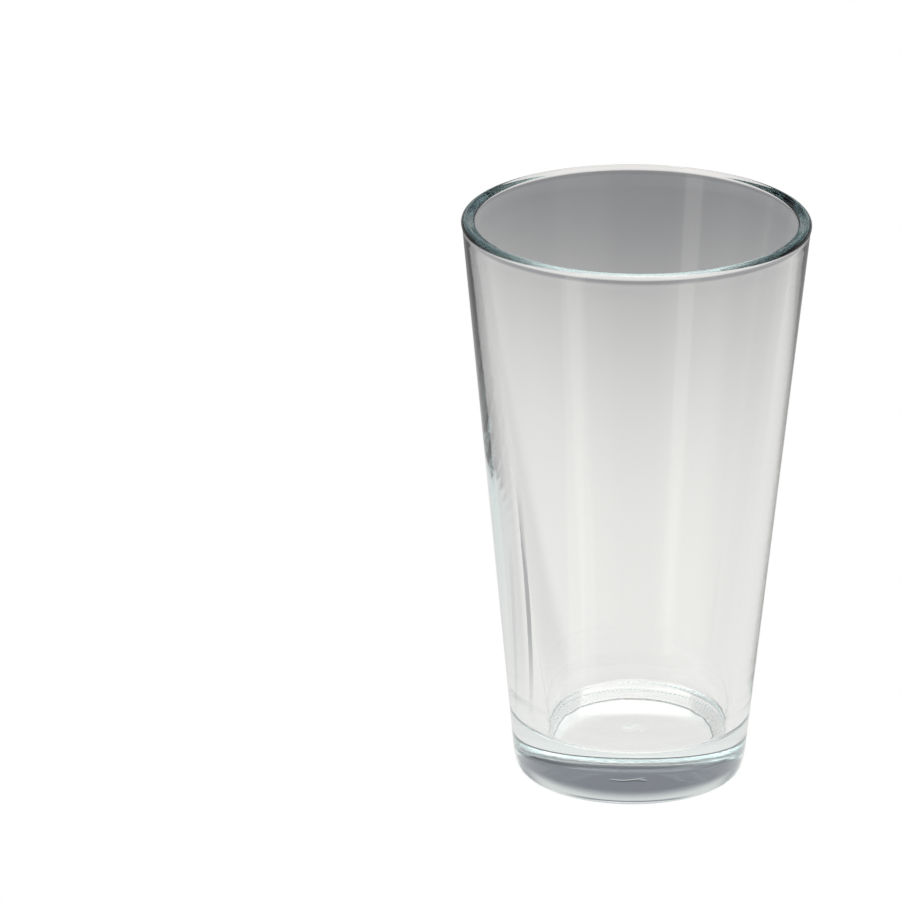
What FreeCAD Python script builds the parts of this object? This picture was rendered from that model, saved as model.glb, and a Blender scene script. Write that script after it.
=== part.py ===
"""Mixing glass: a pressed soda-lime bar pint with a straight taper, a beaded lip and a thick base.

One piece of glass, revolved about +Z. Millimetres. The origin is on the axis, at the level
that the foot ring stands on.
"""
import FreeCAD
import Part
import math
import os

# Driving dimensions, mm
height = 149.2            # foot ring to the top of the lip
mouth_diameter = 88.9     # over the bead of the lip
base_diameter = 59.2      # outer wall carried straight down to the level of the foot
lip_thickness = 3.5       # across the lip
bead_radius = 1.25        # round of the bead, along the outside of the lip
bead_bulge = 0.2          # how far the bead stands out of the outer wall
bead_hollow_radius = 5.0  # hollow that runs the bead out into the outer wall
lip_fall = 18             # slope of the top of the lip, down towards the inside, degrees
lip_inner_radius = 0.8    # round of the inner edge of the lip
floor_height = 13.4       # top of the inner floor at its edge
floor_wall = 7.2          # wall at the level of the inner floor
floor_fillet = 1.4        # corner between the inner floor and the inner wall
floor_crown = 0.35        # rise of the inner floor at its centre
tuck_angle = 22           # the outer wall turns in to this far from upright, just above the foot, degrees
foot_corner_radius = 1.5  # corner between the turned-in wall and the foot ring
foot_ring_outer = 27.7    # outer radius of the flat ring that the glass stands on
foot_ring_inner = 21.5    # inner radius of that ring
recess_depth = 0.3        # flat recess under the base, inside the foot ring
recess_edge_radius = 0.6  # round of the recess into the foot ring

mouth_radius = mouth_diameter / 2
base_radius = base_diameter / 2


def point(radius, level):
    """A point of the section, which lies in the XZ plane."""
    return FreeCAD.Vector(radius, 0, level)


def lean_past(foot, centre, offset):
    """Lean from vertical of a line up from a foot, which passes this far outside a centre."""
    reach = centre - foot
    return math.atan2(reach.x, reach.z) + math.asin(offset / reach.Length)


def line(start, end):
    return Part.LineSegment(start, end).toShape()


def arc(start, middle, end):
    return Part.Arc(start, middle, end).toShape()


def arc_about(centre, radius, start, end):
    """The short arc of a known circle between two of its points."""
    middle = (start + end) * 0.5 - centre
    return arc(start, centre + middle.normalize() * radius, end)


def dome_arc(top, edge):
    """Arc from the axis down to an edge, on a sphere whose centre is on the axis."""
    rise = top.z - edge.z
    radius = (edge.x ** 2 + rise ** 2) / (2 * rise)
    return arc_about(point(0, top.z - radius), radius, top, edge)


def bead_hollow(wall_foot, lean, bead_centre):
    """Centre of the hollow between the outer wall and the bead, and its ends on each of them.

    The centre stands off the wall by the hollow's own radius, and off the bead's centre by
    both radii.
    """
    along = point(math.sin(lean), math.cos(lean))
    away = point(math.cos(lean), -math.sin(lean))
    gap = bead_centre - wall_foot
    off_wall = bead_hollow_radius - gap.dot(away)
    reach = math.sqrt((bead_hollow_radius + bead_radius) ** 2 - off_wall ** 2)
    on_wall = wall_foot + along * (gap.dot(along) - reach)
    centre = on_wall + away * bead_hollow_radius
    on_bead = bead_centre + (centre - bead_centre).normalize() * bead_radius
    return centre, on_wall, on_bead


def corner_cut(corner_angle, radius):
    """Length that a fillet takes off each side of a corner with this inside angle."""
    return radius / math.tan(corner_angle / 2)


def glass_section():
    """Half section of the glass, as one closed wire from the axis round to the axis."""
    bead_centre = point(mouth_radius - bead_radius, height - bead_radius)

    # Outer wall, straight from the foot to the bead
    outer_foot = point(base_radius, 0)
    outer_lean = lean_past(outer_foot, bead_centre, bead_radius - bead_bulge)

    # Heel: the wall turns in on a large arc, which a small corner runs on to the foot ring
    corner_centre = point(foot_ring_outer, foot_corner_radius)
    heel_start = point(foot_ring_outer, 0)
    tuck = math.radians(tuck_angle)
    wall_away = point(math.cos(outer_lean), -math.sin(outer_lean))
    tuck_away = point(math.cos(tuck), -math.sin(tuck))
    between = wall_away.dot(tuck_away)
    wall_gap = (outer_foot - corner_centre).dot(wall_away)
    tuck_radius = (wall_gap - foot_corner_radius * between) / (1 - between)
    corner_end = corner_centre + tuck_away * foot_corner_radius
    tuck_centre = corner_end - tuck_away * tuck_radius
    heel_end = tuck_centre + wall_away * tuck_radius

    # Top of the lip, a narrow slope that touches the bead and the round of the inner edge
    fall = math.radians(lip_fall)
    slope_away = point(-math.sin(fall), math.cos(fall))
    slope_offset = bead_centre.dot(slope_away) + bead_radius - lip_inner_radius
    edge_radius = mouth_radius - lip_thickness + lip_inner_radius
    inner_edge_centre = point(edge_radius, (slope_offset + edge_radius * math.sin(fall)) / math.cos(fall))
    slope_start = bead_centre + slope_away * bead_radius
    slope_end = inner_edge_centre + slope_away * lip_inner_radius

    # Inner wall, straight from the floor to the inner edge of the lip, with a little more lean
    wall_at_floor = base_radius + floor_height * math.tan(outer_lean) - floor_wall
    inner_foot = point(wall_at_floor, floor_height)
    inner_lean = lean_past(inner_foot, inner_edge_centre, -lip_inner_radius)
    inner_away = point(-math.cos(inner_lean), math.sin(inner_lean))
    fillet_cut = corner_cut(math.pi / 2 + inner_lean, floor_fillet)
    fillet_centre = point(wall_at_floor - fillet_cut, floor_height + floor_fillet)
    floor_edge = point(fillet_centre.x, floor_height)
    fillet_end = fillet_centre - inner_away * floor_fillet

    # Hollow that runs the bead out into the outer wall
    hollow_centre, outer_wall_end, bead_start = bead_hollow(outer_foot, outer_lean, bead_centre)
    inner_wall_end = inner_edge_centre + inner_away * lip_inner_radius

    # Shallow flat recess under the base, which rounds down to the foot ring
    recess_run = math.sqrt(recess_edge_radius ** 2 - (recess_edge_radius - recess_depth) ** 2)
    recess_centre = point(0, recess_depth)
    recess_edge = point(foot_ring_inner - recess_run, recess_depth)
    ring_start = point(foot_ring_inner, 0)
    edge_centre = recess_edge - point(0, recess_edge_radius)

    # Crown of the inner floor, a very shallow dome
    crown_top = point(0, floor_height + floor_crown)

    return Part.Wire([
        line(recess_centre, recess_edge),
        arc_about(edge_centre, recess_edge_radius, recess_edge, ring_start),
        line(ring_start, heel_start),
        arc_about(corner_centre, foot_corner_radius, heel_start, corner_end),
        arc_about(tuck_centre, tuck_radius, corner_end, heel_end),
        line(heel_end, outer_wall_end),
        arc_about(hollow_centre, bead_hollow_radius, outer_wall_end, bead_start),
        arc_about(bead_centre, bead_radius, bead_start, slope_start),
        line(slope_start, slope_end),
        arc_about(inner_edge_centre, lip_inner_radius, slope_end, inner_wall_end),
        line(inner_wall_end, fillet_end),
        arc_about(fillet_centre, floor_fillet, fillet_end, floor_edge),
        dome_arc(crown_top, floor_edge),
        line(crown_top, recess_centre),
    ])


def glass_body():
    """The whole glass: its section turned once about the axis."""
    return Part.Face(glass_section()).revolve(point(0, 0), FreeCAD.Vector(0, 0, 1), 360)


def capacity(glass):
    """Brimful volume, in mm3: what fits inside the glass below the top of its lip."""
    plug = Part.makeCylinder(mouth_radius - bead_radius, height - floor_height, point(0, floor_height))
    inside = [solid for solid in plug.cut(glass).Solids if solid.isInside(point(0, height / 2), 0.01, True)]
    return inside[0].Volume


os.makedirs("parts", exist_ok=True)
body = glass_body()
body.exportStep("parts/glass_body.step")
print("glass", round(body.Volume / 1000), "ml, holds", round(capacity(body) / 1000), "ml, valid", body.isValid())
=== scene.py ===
"""Mixing glass: the visual model of a pressed bar pint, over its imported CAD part, in a pale studio."""
import math
from functools import reduce

import bpy
from mathutils import Matrix, Vector, noise


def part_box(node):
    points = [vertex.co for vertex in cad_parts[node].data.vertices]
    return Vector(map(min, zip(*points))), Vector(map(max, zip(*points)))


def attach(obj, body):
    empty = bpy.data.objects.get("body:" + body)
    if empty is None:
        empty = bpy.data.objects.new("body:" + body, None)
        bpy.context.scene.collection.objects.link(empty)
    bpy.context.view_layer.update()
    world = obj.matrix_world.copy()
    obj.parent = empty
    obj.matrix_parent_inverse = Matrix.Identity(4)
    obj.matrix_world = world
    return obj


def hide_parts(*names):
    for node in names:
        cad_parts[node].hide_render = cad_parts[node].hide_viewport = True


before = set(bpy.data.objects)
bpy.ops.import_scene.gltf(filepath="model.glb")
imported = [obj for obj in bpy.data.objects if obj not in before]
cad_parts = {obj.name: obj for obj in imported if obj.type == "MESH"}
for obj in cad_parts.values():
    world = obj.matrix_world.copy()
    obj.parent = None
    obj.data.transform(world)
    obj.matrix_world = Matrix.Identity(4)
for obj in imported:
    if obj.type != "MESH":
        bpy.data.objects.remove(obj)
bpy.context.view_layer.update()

MM = 0.001
WHITE = (1, 1, 1, 1)

# ---------------------------------------------------------------- driving dimensions of the glass, metres
body_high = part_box("glass_body")[1]
height = body_high.z
mouth_radius = body_high.x
base_radius = 59.2 / 2 * MM     # outer wall carried straight down to the level of the foot
lip_thickness = 3.5 * MM
bead_radius = 1.25 * MM         # round of the bead, along the outside of the lip
bead_bulge = 0.2 * MM           # how far the bead stands out of the outer wall
bead_hollow_radius = 5.0 * MM   # hollow that runs the bead out into the outer wall
lip_fall = math.radians(18)     # slope of the top of the lip, down towards the inside
lip_inner_radius = 0.8 * MM     # round of the inner edge of the lip
floor_height = 13.4 * MM        # top of the inner floor at its edge
floor_wall = 7.2 * MM           # wall at the level of the inner floor
floor_fillet = 1.4 * MM         # corner between the inner floor and the inner wall
floor_crown = 0.35 * MM         # rise of the inner floor at its centre
tuck_angle = math.radians(22)   # the outer wall turns in to this far from upright, above the foot
foot_corner_radius = 1.5 * MM   # corner between the turned-in wall and the foot ring
foot_ring_outer = 27.7 * MM
foot_ring_inner = 21.5 * MM
recess_depth = 0.3 * MM         # flat recess under the base, inside the foot ring
recess_edge_radius = 0.6 * MM   # round of the recess into the foot ring

# ---------------------------------------------------------------- small faults of a pressed glass
# Only the visual model has them. Scales of noise are per metre.
inside_offset = 1.2 * MM        # the inside stands this far to +X at the floor, and true at the lip

inner_wave = 0.030 * MM         # slow swell of the inner wall
outer_wave = 0.015 * MM         # and of the outer wall
inner_wave_seed = 7.3           # sets the noise of the inner wall apart from the outer wall's
broad_round, broad_up = 45, 14  # scales of the broad swell, round the wall and up it
fine_round, fine_up = 110, 30   # and of the finer one that rides on it
fine_share = 0.35
wave_top_gap = 4 * MM           # the swell is gone this far under the top of the lip
wave_foot_gap = 9 * MM          # and this far over the foot
wave_fade = 9 * MM              # it dies out over this

settle_depth = 0.016 * MM       # ripples that lie round the inside, just above the floor
settle_pitch = 4.2 * MM
settle_top = 14 * MM            # they are gone at this height over the floor
settle_fade_in = 3 * MM         # they come up over this from the floor
settle_fade_out = 7 * MM        # and die out over this under their top
settle_wander = 0.6 * MM        # they wander up and down this far round the glass
settle_scale = 55
settle_seed = 3.1

stipple_depth = 0.20 * MM       # fine bosses of the foot ring
stipple_count = 128             # bosses round the ring
stipple_rows = 3
stipple_edge = 1 / 6            # share of the ring's width over which they die out at each edge

mark_reach = 3.01 * MM          # cold wrinkle, pressed into the middle of the underside: half its length
mark_fade = 0.7 * MM            # it dies out over this at each end
mark_width = 0.70 * MM
mark_depth = 0.08 * MM
mark_back = 2.1 * MM            # its middle stands this far to +Y
mark_waver = 0.5 * MM           # it wavers this far to each side
mark_waver_run = 0.7 * MM       # run along X of one radian of the wavering
arm_offset = 1.3 * MM           # its second arm stands this far off the first
arm_start = 0.3 * MM            # leaves it here, along X
arm_leave = 1.2 * MM            # over this
arm_end = 2.6 * MM              # and meets it again here
arm_meet = 1.0 * MM             # over this
arm_share = 0.8                 # of the depth of the first

# ---------------------------------------------------------------- the mesh
segments = 512                  # round the axis

# Rings in each stretch of the section, from under the base out, up, over the lip and down
mark_rings = 18
mark_rings_radius = 5.04 * MM   # they lie within this, round the wrinkle
recess_rings = 6
recess_edge_rings = 4
foot_ring_rings = 4 * stipple_rows
corner_rings = 8
tuck_rings = 10
wall_rings = 29                 # of the outer wall, and of the inner wall above its ripples
hollow_rings = 8
bead_rings = 14
bead_top_rings = 3
slope_rings = 3
lip_inside_rings = 9
settle_rings = 22
fillet_rings = 7
dome_rings = 8

# ---------------------------------------------------------------- the look of the glass
glass_index = 1.52
glass_tint = (0.55, 0.84, 0.86, 1)
tint_density = 4                # per metre
satin_roughness = 0.35
satin_top = 0.26 * MM           # satin up to this height, above the stipple and below the recess
satin_radius = foot_ring_inner - 0.1 * MM
peel_scale = 260                # of the orange peel's noise, per metre
peel_depth = 0.004 * MM

# ---------------------------------------------------------------- the studio, metres
# +Y lies behind the glass, as the camera sees it. Strengths are of emitted light, where 1 is white.
floor_half = 6
floor_drop = 0.05 * MM          # the floor lies this far under the foot
warm_light = (1.02, 0.99, 0.935, 1)
cool_light = (0.99, 1.0, 1.04, 1)
ambient = 0.13                  # cool light, all over the floor
far_start, far_full = 0.98, 1.35  # the far floor brightens between these distances from far_centre
far_centre = (0, -0.5, 0)
far_strength = 0.42
band_start, band_full = 0.04, 0.09  # bands come up between these distances from the axis
band_nearest = 1 * MM           # least distance that a band's slope is worked out with
band_fade = 1.2                 # a band that has a reach is gone at this many times its reach

low_color = (1.01, 1.0, 0.99, 1)  # of the room: low down, on the wall, and on the ceiling
wall_color = (0.99, 1.0, 1.12, 1)
ceiling_color = (1.06, 1.0, 0.96, 1)
wall_strength = 0.22
ceiling_start, ceiling_full = 41, 51  # the ceiling comes up between these elevations, degrees

# ---------------------------------------------------------------- the camera, metres
camera_back = 1.850             # from the axis, to -Y
camera_height = 0.776
camera_pitch = math.radians(20.452)  # down
camera_turn = math.radians(1.454)  # to the left
camera_roll = math.radians(0.276)
sensor_width = 36               # mm
camera_lens = 308.41            # mm
clip_near, clip_far = 0.1, 50
light_bounces = 32              # lets light cross both walls and the base several times


# ---------------------------------------------------------------- the section
def turn(angle):
    """Unit vector in the section plane, this far from +r towards +z."""
    return Vector((math.cos(angle), math.sin(angle)))


def along_line(start, end, count):
    """Points of a line from start to end, without start."""
    return [start.lerp(end, i / count) for i in range(1, count + 1)]


def along_arc(centre, start, end, count):
    """Points of the short arc from start to end, without start."""
    first, last = start - centre, end - centre
    sweep = math.atan2(first.x * last.y - first.y * last.x, first.dot(last))
    first_angle = math.atan2(first.y, first.x)
    return [centre + turn(first_angle + sweep * i / count) * first.length for i in range(1, count + 1)]


def dome_centre(top, edge):
    """Centre, on the axis, of the sphere that a dome from its top to its edge lies on."""
    rise = top.y - edge.y
    return Vector((0, top.y - (edge.x ** 2 + rise ** 2) / (2 * rise)))


def lean_past(foot, centre, offset):
    """Lean from vertical of a line up from a foot, which passes this far outside a centre."""
    reach = centre - foot
    return math.atan2(reach.x, reach.y) + math.asin(offset / reach.length)


def bead_hollow(foot, lean, bead_centre):
    """Centre and ends of the hollow between the outer wall and the bead."""
    along = Vector((math.sin(lean), math.cos(lean)))
    away = Vector((math.cos(lean), -math.sin(lean)))
    gap = bead_centre - foot
    off_wall = bead_hollow_radius - gap.dot(away)
    reach = math.sqrt((bead_hollow_radius + bead_radius) ** 2 - off_wall ** 2)
    on_wall = foot + along * (gap.dot(along) - reach)
    centre = on_wall + away * bead_hollow_radius
    on_bead = bead_centre + (centre - bead_centre).normalized() * bead_radius
    return centre, on_wall, on_bead


def glass_section():
    """Named runs of (radius, height) points, from the axis under the base round to the axis again."""
    bead_centre = Vector((mouth_radius - bead_radius, height - bead_radius))
    outer_foot = Vector((base_radius, 0))
    outer_lean = lean_past(outer_foot, bead_centre, bead_radius - bead_bulge)

    # Heel: a small corner off the foot ring, and a large arc that runs it out to the outer wall
    corner_centre = Vector((foot_ring_outer, foot_corner_radius))
    heel_start = Vector((foot_ring_outer, 0))
    wall_away, tuck_away = turn(-outer_lean), turn(-tuck_angle)
    between = wall_away.dot(tuck_away)
    wall_gap = (outer_foot - corner_centre).dot(wall_away)
    tuck_radius = (wall_gap - foot_corner_radius * between) / (1 - between)
    corner_end = corner_centre + tuck_away * foot_corner_radius
    tuck_centre = corner_end - tuck_away * tuck_radius
    heel_end = tuck_centre + wall_away * tuck_radius

    # Lip: hollow, bead, and a narrow slope that touches the bead and the round of the inner edge
    hollow_centre, outer_wall_end, bead_start = bead_hollow(outer_foot, outer_lean, bead_centre)
    bead_top = bead_centre + Vector((0, bead_radius))
    slope_away = turn(math.pi / 2 + lip_fall)
    slope_offset = bead_centre.dot(slope_away) + bead_radius - lip_inner_radius
    edge_radius = mouth_radius - lip_thickness + lip_inner_radius
    edge_level = (slope_offset + edge_radius * math.sin(lip_fall)) / math.cos(lip_fall)
    edge_centre = Vector((edge_radius, edge_level))
    slope_start = bead_centre + slope_away * bead_radius
    slope_end = edge_centre + slope_away * lip_inner_radius

    # Inside: a straight wall down to a fillet, and a crowned floor
    inner_foot = Vector((base_radius + floor_height * math.tan(outer_lean) - floor_wall, floor_height))
    inner_lean = lean_past(inner_foot, edge_centre, -lip_inner_radius)
    inner_wall_end = edge_centre + turn(math.pi - inner_lean) * lip_inner_radius
    fillet_cut = floor_fillet / math.tan((math.pi / 2 + inner_lean) / 2)
    fillet_centre = Vector((inner_foot.x - fillet_cut, floor_height + floor_fillet))
    fillet_end = fillet_centre + turn(-inner_lean) * floor_fillet
    settle_start = fillet_end.lerp(inner_wall_end, settle_top / (inner_wall_end.y - fillet_end.y))
    floor_edge = Vector((fillet_centre.x, floor_height))
    crown_top = Vector((0, floor_height + floor_crown))

    # Underside: a flat recess, rounded down to the foot ring
    recess_run = math.sqrt(recess_edge_radius ** 2 - (recess_edge_radius - recess_depth) ** 2)
    recess_centre = Vector((0, recess_depth))
    mark_edge = Vector((mark_rings_radius, recess_depth))
    recess_edge = Vector((foot_ring_inner - recess_run, recess_depth))
    recess_edge_centre = recess_edge - Vector((0, recess_edge_radius))
    ring_start = Vector((foot_ring_inner, 0))

    return [
        ("underside", [recess_centre]
            + along_line(recess_centre, mark_edge, mark_rings)
            + along_line(mark_edge, recess_edge, recess_rings)
            + along_arc(recess_edge_centre, recess_edge, ring_start, recess_edge_rings)),
        ("foot_ring", along_line(ring_start, heel_start, foot_ring_rings)),
        ("heel", along_arc(corner_centre, heel_start, corner_end, corner_rings)
            + along_arc(tuck_centre, corner_end, heel_end, tuck_rings)),
        ("outer_wall", along_line(heel_end, outer_wall_end, wall_rings)),
        ("lip", along_arc(hollow_centre, outer_wall_end, bead_start, hollow_rings)
            + along_arc(bead_centre, bead_start, bead_top, bead_rings)
            + along_arc(bead_centre, bead_top, slope_start, bead_top_rings)
            + along_line(slope_start, slope_end, slope_rings)),
        ("lip_inside", along_arc(edge_centre, slope_end, inner_wall_end, lip_inside_rings)),
        ("inner_wall", along_line(inner_wall_end, settle_start, wall_rings)
            + along_line(settle_start, fillet_end, settle_rings)),
        ("floor", along_arc(fillet_centre, fillet_end, floor_edge, fillet_rings)
            + along_arc(dome_centre(crown_top, floor_edge), floor_edge, crown_top, dome_rings)),
    ]


# ---------------------------------------------------------------- the body
def smooth_step(value):
    """0 up to 0, 1 from 1 on, and a smooth rise between them."""
    value = min(max(value, 0), 1)
    return value * value * (3 - 2 * value)


def swell(x, y, level, inside):
    """How far a wall stands out here: a slow wave, longer up the wall than round it."""
    depth, seed = (inner_wave, inner_wave_seed) if inside else (outer_wave, 0)
    broad = noise.noise(Vector((x * broad_round + seed, y * broad_round, level * broad_up)))
    fine = noise.noise(Vector((x * fine_round, y * fine_round + seed, level * fine_up)))
    under_lip = smooth_step((height - wave_top_gap - level) / wave_fade)
    over_foot = smooth_step((level - wave_foot_gap) / wave_fade)
    return (broad + fine_share * fine) * depth * under_lip * over_foot


def settle_ripple(x, y, level):
    """How far the inner wall stands out here in the ripples just above the floor."""
    rise = level - floor_height
    wander = settle_wander * noise.noise(Vector((x * settle_scale, y * settle_scale, settle_seed)))
    fade = smooth_step(rise / settle_fade_in) * smooth_step((settle_top - rise) / settle_fade_out)
    return settle_depth * fade * math.sin(math.tau * (rise + wander) / settle_pitch)


def stipple_rise(radius, angle):
    """How far the foot ring is raised here, between its bosses."""
    across = (radius - foot_ring_inner) / (foot_ring_outer - foot_ring_inner)
    edges = smooth_step(across / stipple_edge) * smooth_step((1 - across) / stipple_edge)
    boss = math.cos(angle * stipple_count) * math.cos(math.tau * across * stipple_rows)
    return stipple_depth * edges * (0.5 - 0.5 * boss)


def mark_rise(x, y):
    """The wrinkle: a short wavering groove across the middle, with a second arm at one end."""
    ends = smooth_step((mark_reach - abs(x)) / mark_fade)
    path = mark_back + mark_waver * math.sin(x / mark_waver_run)
    groove = math.exp(-((y - path) / mark_width) ** 2)
    if x > 0:
        parting = smooth_step((x - arm_start) / arm_leave) * smooth_step((arm_end - x) / arm_meet)
        arm = path + arm_offset * parting
        groove = max(groove, arm_share * math.exp(-((y - arm) / mark_width) ** 2))
    return mark_depth * ends * groove


def shaped(run, radius, level, angle):
    """Where a point of the section goes in the glass, with the small faults of a pressing."""
    inside = run in ("lip_inside", "inner_wall", "floor")
    x, y = radius * math.cos(angle), radius * math.sin(angle)
    if run in ("outer_wall", "inner_wall"):
        out = swell(x, y, level, inside)
        x, y = x + out * math.cos(angle), y + out * math.sin(angle)
    if run == "inner_wall":
        out = settle_ripple(x, y, level)
        x, y = x + out * math.cos(angle), y + out * math.sin(angle)
    if inside:
        x += inside_offset * smooth_step((height - level) / (height - floor_height))
    if run == "foot_ring":
        level += stipple_rise(radius, angle)
    if run == "underside":
        level += mark_rise(x, y)
    return x, y, level


def lathe(name, runs, count):
    """Closed mesh of a section that starts and ends on the axis, turned once about +Z."""
    section = [(run, point) for run, points in runs for point in points]
    inner = section[1:-1]
    vertices = [shaped(section[0][0], *section[0][1], 0)]
    for run, point in inner:
        for k in range(count):
            vertices.append(shaped(run, point.x, point.y, math.tau * k / count))
    vertices.append(shaped(section[-1][0], *section[-1][1], 0))
    last = len(vertices) - 1
    top_ring = 1 + (len(inner) - 1) * count
    faces = []
    for k in range(count):
        after = (k + 1) % count
        faces.append((0, 1 + after, 1 + k))
        faces.append((last, top_ring + k, top_ring + after))
    for ring in range(len(inner) - 1):
        start = 1 + ring * count
        for k in range(count):
            after = (k + 1) % count
            faces.append((start + k, start + after, start + count + after, start + count + k))
    mesh = bpy.data.meshes.new(name)
    mesh.from_pydata(vertices, [], faces)
    mesh.validate()
    for polygon in mesh.polygons:
        polygon.use_smooth = True
    piece = bpy.data.objects.new(name, mesh)
    bpy.context.scene.collection.objects.link(piece)
    return piece


# ---------------------------------------------------------------- shader graphs
class Graph:
    """A node tree, written as expressions. A value is a number, a tuple or another node's output."""

    def __init__(self, tree):
        self.nodes = tree.nodes
        self.links = tree.links

    def fill(self, node, inputs):
        """Set or link inputs of a node, by name or by number."""
        for key, value in inputs.items():
            if isinstance(value, bpy.types.NodeSocket):
                self.links.new(value, node.inputs[key])
            else:
                node.inputs[key].default_value = value

    def node(self, kind, inputs=None, **settings):
        """A new node with these inputs and settings."""
        node = self.nodes.new(kind)
        for name, setting in settings.items():
            setattr(node, name, setting)
        self.fill(node, inputs or {})
        return node

    def math(self, operation, *values):
        return self.node("ShaderNodeMath", dict(enumerate(values)), operation=operation).outputs["Value"]

    def vector(self, operation, *values):
        outputs = self.node("ShaderNodeVectorMath", dict(enumerate(values)), operation=operation).outputs
        return outputs["Value" if operation in ("LENGTH", "DISTANCE") else "Vector"]

    def total(self, *values):
        return reduce(lambda first, second: self.math("ADD", first, second), values)

    def product(self, *values):
        return reduce(lambda first, second: self.math("MULTIPLY", first, second), values)

    def split(self, vector):
        """X, Y and Z of a vector."""
        return self.node("ShaderNodeSeparateXYZ", {0: vector}).outputs

    def step(self, value, off, on):
        """Smooth step, 0 at off and 1 at on."""
        edge = {"Value": value, "From Min": off, "From Max": on}
        return self.node("ShaderNodeMapRange", edge, interpolation_type="SMOOTHSTEP").outputs["Result"]

    def mix(self, data_type, share, first, second):
        """The first value where the share is 0, the second where it is 1."""
        inputs = {"Factor": share, "A": first, "B": second}
        return self.node("ShaderNodeMix", inputs, data_type=data_type).outputs["Result"]

    def camera_ray(self):
        """1 where the camera looks straight at a surface, and 0 for what the glass sees."""
        return self.node("ShaderNodeLightPath").outputs["Is Camera Ray"]


# ---------------------------------------------------------------- the material
def glass_material():
    """Clear soda-lime glass: fire-polished walls with a faint orange peel, and a satin foot ring."""
    material = bpy.data.materials.new("clear_glass")
    material.use_nodes = True
    graph = Graph(material.node_tree)
    place = graph.node("ShaderNodeTexCoord").outputs["Object"]

    x, y, z = graph.split(place)
    radius = graph.math("SQRT", graph.total(graph.product(x, x), graph.product(y, y)))
    low = graph.math("LESS_THAN", z, satin_top)
    satin = graph.product(low, graph.math("GREATER_THAN", radius, satin_radius))

    peel = graph.node("ShaderNodeTexNoise", {"Scale": peel_scale, "Detail": 2, "Vector": place})
    relief = {"Strength": 1, "Distance": peel_depth, "Height": peel.outputs["Fac"]}
    graph.fill(graph.nodes["Principled BSDF"], {
        "Base Color": WHITE,
        "IOR": glass_index,
        "Transmission Weight": 1,
        "Roughness": graph.product(satin, satin_roughness),
        "Normal": graph.node("ShaderNodeBump", relief).outputs["Normal"],
    })

    tint = graph.node("ShaderNodeVolumeAbsorption", {"Color": glass_tint, "Density": tint_density})
    graph.fill(graph.nodes["Material Output"], {"Volume": tint.outputs["Volume"]})
    return material


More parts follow.
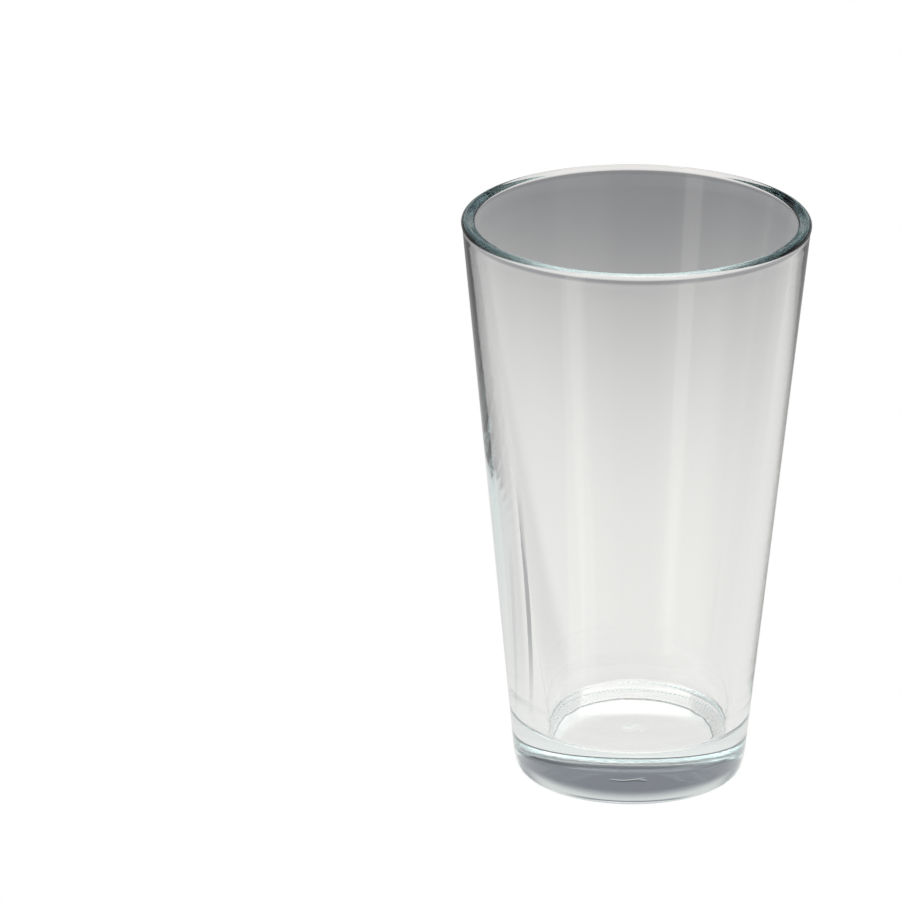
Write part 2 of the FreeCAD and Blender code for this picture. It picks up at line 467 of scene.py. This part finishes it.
# ---------------------------------------------------------------- the studio floor
def floor_material():
    """Plain white to the eye; to the glass, a painted bright warm pool, shadow and caustic on a cool grey.
    """
    material = bpy.data.materials.new("studio_floor")
    material.use_nodes = True
    graph = Graph(material.node_tree)
    graph.nodes.clear()
    place = graph.node("ShaderNodeNewGeometry").outputs["Position"]
    x, y, _ = graph.split(place)

    def spot(centre, spread, power, strength):
        """strength * exp(-rho^power), with rho the distance from the centre in units of the spread."""
        offset = graph.vector("SUBTRACT", place, (*centre, 0))
        rho = graph.vector("LENGTH", graph.vector("DIVIDE", offset, (*spread, 1)))
        fall = graph.math("EXPONENT", graph.product(graph.math("POWER", rho, power), -1))
        return graph.product(fall, strength)

    def band(bearing, half_width, softness, strength, reach=None):
        """A painted band of light, or of shadow at a strength below 0, that widens out from beside the
        glass.

        The bearing is in degrees from +X towards +Y, and the half width is a slope. The band
        runs on to the edge of the floor, or as far as its reach.
        """
        along, across = math.cos(math.radians(bearing)), math.sin(math.radians(bearing))
        ahead = graph.total(graph.product(x, along), graph.product(y, across))
        aside = graph.total(graph.product(x, -across), graph.product(y, along))
        run = graph.math("MAXIMUM", ahead, band_nearest)
        slope = graph.math("DIVIDE", graph.math("ABSOLUTE", aside), run)
        inside = graph.step(slope, half_width * (1 + softness), half_width * (1 - softness))
        if reach:
            inside = graph.product(inside, graph.step(ahead, reach * band_fade, reach))
        return graph.product(inside, graph.step(ahead, band_start, band_full), strength)

    def paint_caustic(low, high, side_edge, front_edge, back_edge, strength):
        """Painted caustic: light as the base would gather it on to the floor, in a rectangle with soft
        edges.
        """
        return graph.product(
            strength,
            graph.step(x, low[0] - side_edge, low[0] + side_edge),
            graph.step(x, high[0] + side_edge, high[0] - side_edge),
            graph.step(y, low[1] - front_edge, low[1] + front_edge),
            graph.step(y, high[1] + back_edge, high[1] - back_edge),
        )

    def glow(color, strength):
        return graph.node("ShaderNodeEmission", {"Color": color, "Strength": strength}).outputs["Emission"]

    # Painted warm light: pools, bands that the walls stretch into upright streaks, a caustic behind the
    # base
    painted_light_pool = spot(centre=(0, -0.08), spread=(0.57, 0.422), power=5, strength=0.52)
    painted_light_under_glass = spot(centre=(0, 0), spread=(0.035, 0.035), power=4, strength=0.15)
    painted_light_in_front = spot(centre=(-0.03, -0.22), spread=(0.22, 0.20), power=2, strength=0.14)
    # Painted shadow of the glass, cast to the back left: a narrow dark band and a wide faint one
    painted_shadow_line = band(bearing=158.5, half_width=0.055, softness=0.12, strength=-0.45, reach=0.135)
    painted_shadow_left = band(bearing=133, half_width=0.29, softness=0.3, strength=-0.13)
    # Painted light in bright bands to the front left and right
    painted_bright_band_left = band(bearing=228, half_width=0.12, softness=0.2, strength=0.55)
    painted_wide_band_left = band(bearing=212, half_width=0.50, softness=0.5, strength=0.18)
    painted_wide_band_right = band(bearing=312, half_width=0.40, softness=0.5, strength=0.25)
    # Painted caustic, in a patch on the floor under the back of the base
    painted_caustic_patch = paint_caustic(low=(-0.0155, 0.0118), high=(0.0160, 0.030), side_edge=1 * MM,
                       front_edge=1.5 * MM, back_edge=4 * MM, strength=0.28)
    warm = graph.total(painted_light_pool, painted_light_under_glass, painted_light_in_front, painted_shadow_line, painted_shadow_left, painted_bright_band_left, painted_wide_band_left,
                       painted_wide_band_right, painted_caustic_patch)

    # Cool light: even, with a painted pool of light round the glass and a bright far floor
    painted_pool_round_glass = spot(centre=(0, 0), spread=(0.60, 0.60), power=4, strength=0.15)
    distance = graph.vector("DISTANCE", place, far_centre)
    far = graph.product(graph.step(distance, far_start, far_full), far_strength)
    cool = graph.total(ambient, painted_pool_round_glass, far)

    seen = graph.node("ShaderNodeAddShader", {0: glow(warm_light, warm), 1: glow(cool_light, cool)})
    pale = graph.node("ShaderNodeMixShader", {
        "Fac": graph.camera_ray(),
        1: seen.outputs["Shader"],
        2: glow(WHITE, 1),
    })
    graph.node("ShaderNodeOutputMaterial", {"Surface": pale.outputs["Shader"]})
    return material


def make_floor():
    mesh = bpy.data.meshes.new("studio_floor")
    corners = [(x * floor_half, y * floor_half, 0) for x, y in ((-1, -1), (1, -1), (1, 1), (-1, 1))]
    mesh.from_pydata(corners, [], [(0, 1, 2, 3)])
    mesh.materials.append(floor_material())
    floor = bpy.data.objects.new("studio_floor", mesh)
    floor.location.z = -floor_drop
    bpy.context.scene.collection.objects.link(floor)


# ---------------------------------------------------------------- the room
def make_world():
    """Plain white to the eye; as the glass sees it, a grey room with a bright ceiling.

    Elevations are in degrees. Bearings are from +Y, which lies behind the glass.
    """
    world = bpy.data.worlds.new("studio")
    bpy.context.scene.world = world
    world.use_nodes = True
    graph = Graph(world.node_tree)
    x, y, z = graph.split(graph.node("ShaderNodeTexCoord").outputs["Generated"])

    def above(off, on):
        """0 at one elevation and 1 at the other."""
        return graph.step(z, math.sin(math.radians(off)), math.sin(math.radians(on)))

    # An even wall, darker high up, under a bright ceiling. Behind, its foot is dim, with a lit strip above
    dark_wall = graph.product(above(26, 31), -0.17)
    ceiling = graph.product(above(ceiling_start, ceiling_full), 0.96)
    dim_foot = graph.product(graph.step(y, 0.4, 0.7), above(12, 8), -0.10)
    bearing = graph.math("ABSOLUTE", graph.math("ARCTAN2", x, y))
    behind = graph.step(bearing, math.radians(70), math.radians(40))
    lit_strip = graph.product(behind, above(8, 11), above(22.5, 14), 0.45)
    room = graph.total(wall_strength, dark_wall, ceiling, dim_foot, lit_strip)

    low_to_wall = graph.mix("RGBA", above(16, 22), low_color, wall_color)
    color = graph.mix("RGBA", above(ceiling_start, ceiling_full), low_to_wall, ceiling_color)
    direct = graph.camera_ray()
    graph.fill(graph.nodes["Background"], {
        "Strength": graph.mix("FLOAT", direct, room, 1),
        "Color": graph.mix("RGBA", direct, color, WHITE),
    })


def make_softbox(name, place, target, side, strength):
    """A square light that faces its target and that the camera doesn't see."""
    light = bpy.data.lights.new(name, "AREA")
    light.shape = "SQUARE"
    light.size = side
    light.energy = strength * side * side * math.pi
    box = bpy.data.objects.new(name, light)
    box.location = place
    box.rotation_mode = "QUATERNION"
    box.rotation_quaternion = (Vector(place) - Vector(target)).to_track_quat("Z", "Y")
    box.visible_camera = False
    bpy.context.scene.collection.objects.link(box)


# ---------------------------------------------------------------- the camera
def make_camera():
    data = bpy.data.cameras.new("camera")
    data.sensor_width = sensor_width
    data.lens = camera_lens
    data.clip_start = clip_near
    data.clip_end = clip_far
    camera = bpy.data.objects.new("camera", data)
    camera.matrix_world = (
        Matrix.Translation((0, -camera_back, camera_height))
        @ Matrix.Rotation(camera_turn, 4, "Z")
        @ Matrix.Rotation(math.pi / 2 - camera_pitch, 4, "X")
        @ Matrix.Rotation(camera_roll, 4, "Z")
    )
    bpy.context.scene.collection.objects.link(camera)
    bpy.context.scene.camera = camera


def set_rendering():
    scene = bpy.context.scene
    scene.view_settings.view_transform = "Standard"
    scene.cycles.max_bounces = light_bounces
    scene.cycles.transmission_bounces = light_bounces
    scene.cycles.glossy_bounces = light_bounces


# ---------------------------------------------------------------- the scene
glass = lathe("mixing_glass", glass_section(), segments)
glass.data.materials.append(glass_material())
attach(glass, "root")
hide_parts("glass_body")

make_floor()
make_world()
make_softbox("top_softbox", place=(0.2, -0.6, 1.6), target=(0, 0, 0.1), side=0.9, strength=2.0)
make_camera()
set_rendering()
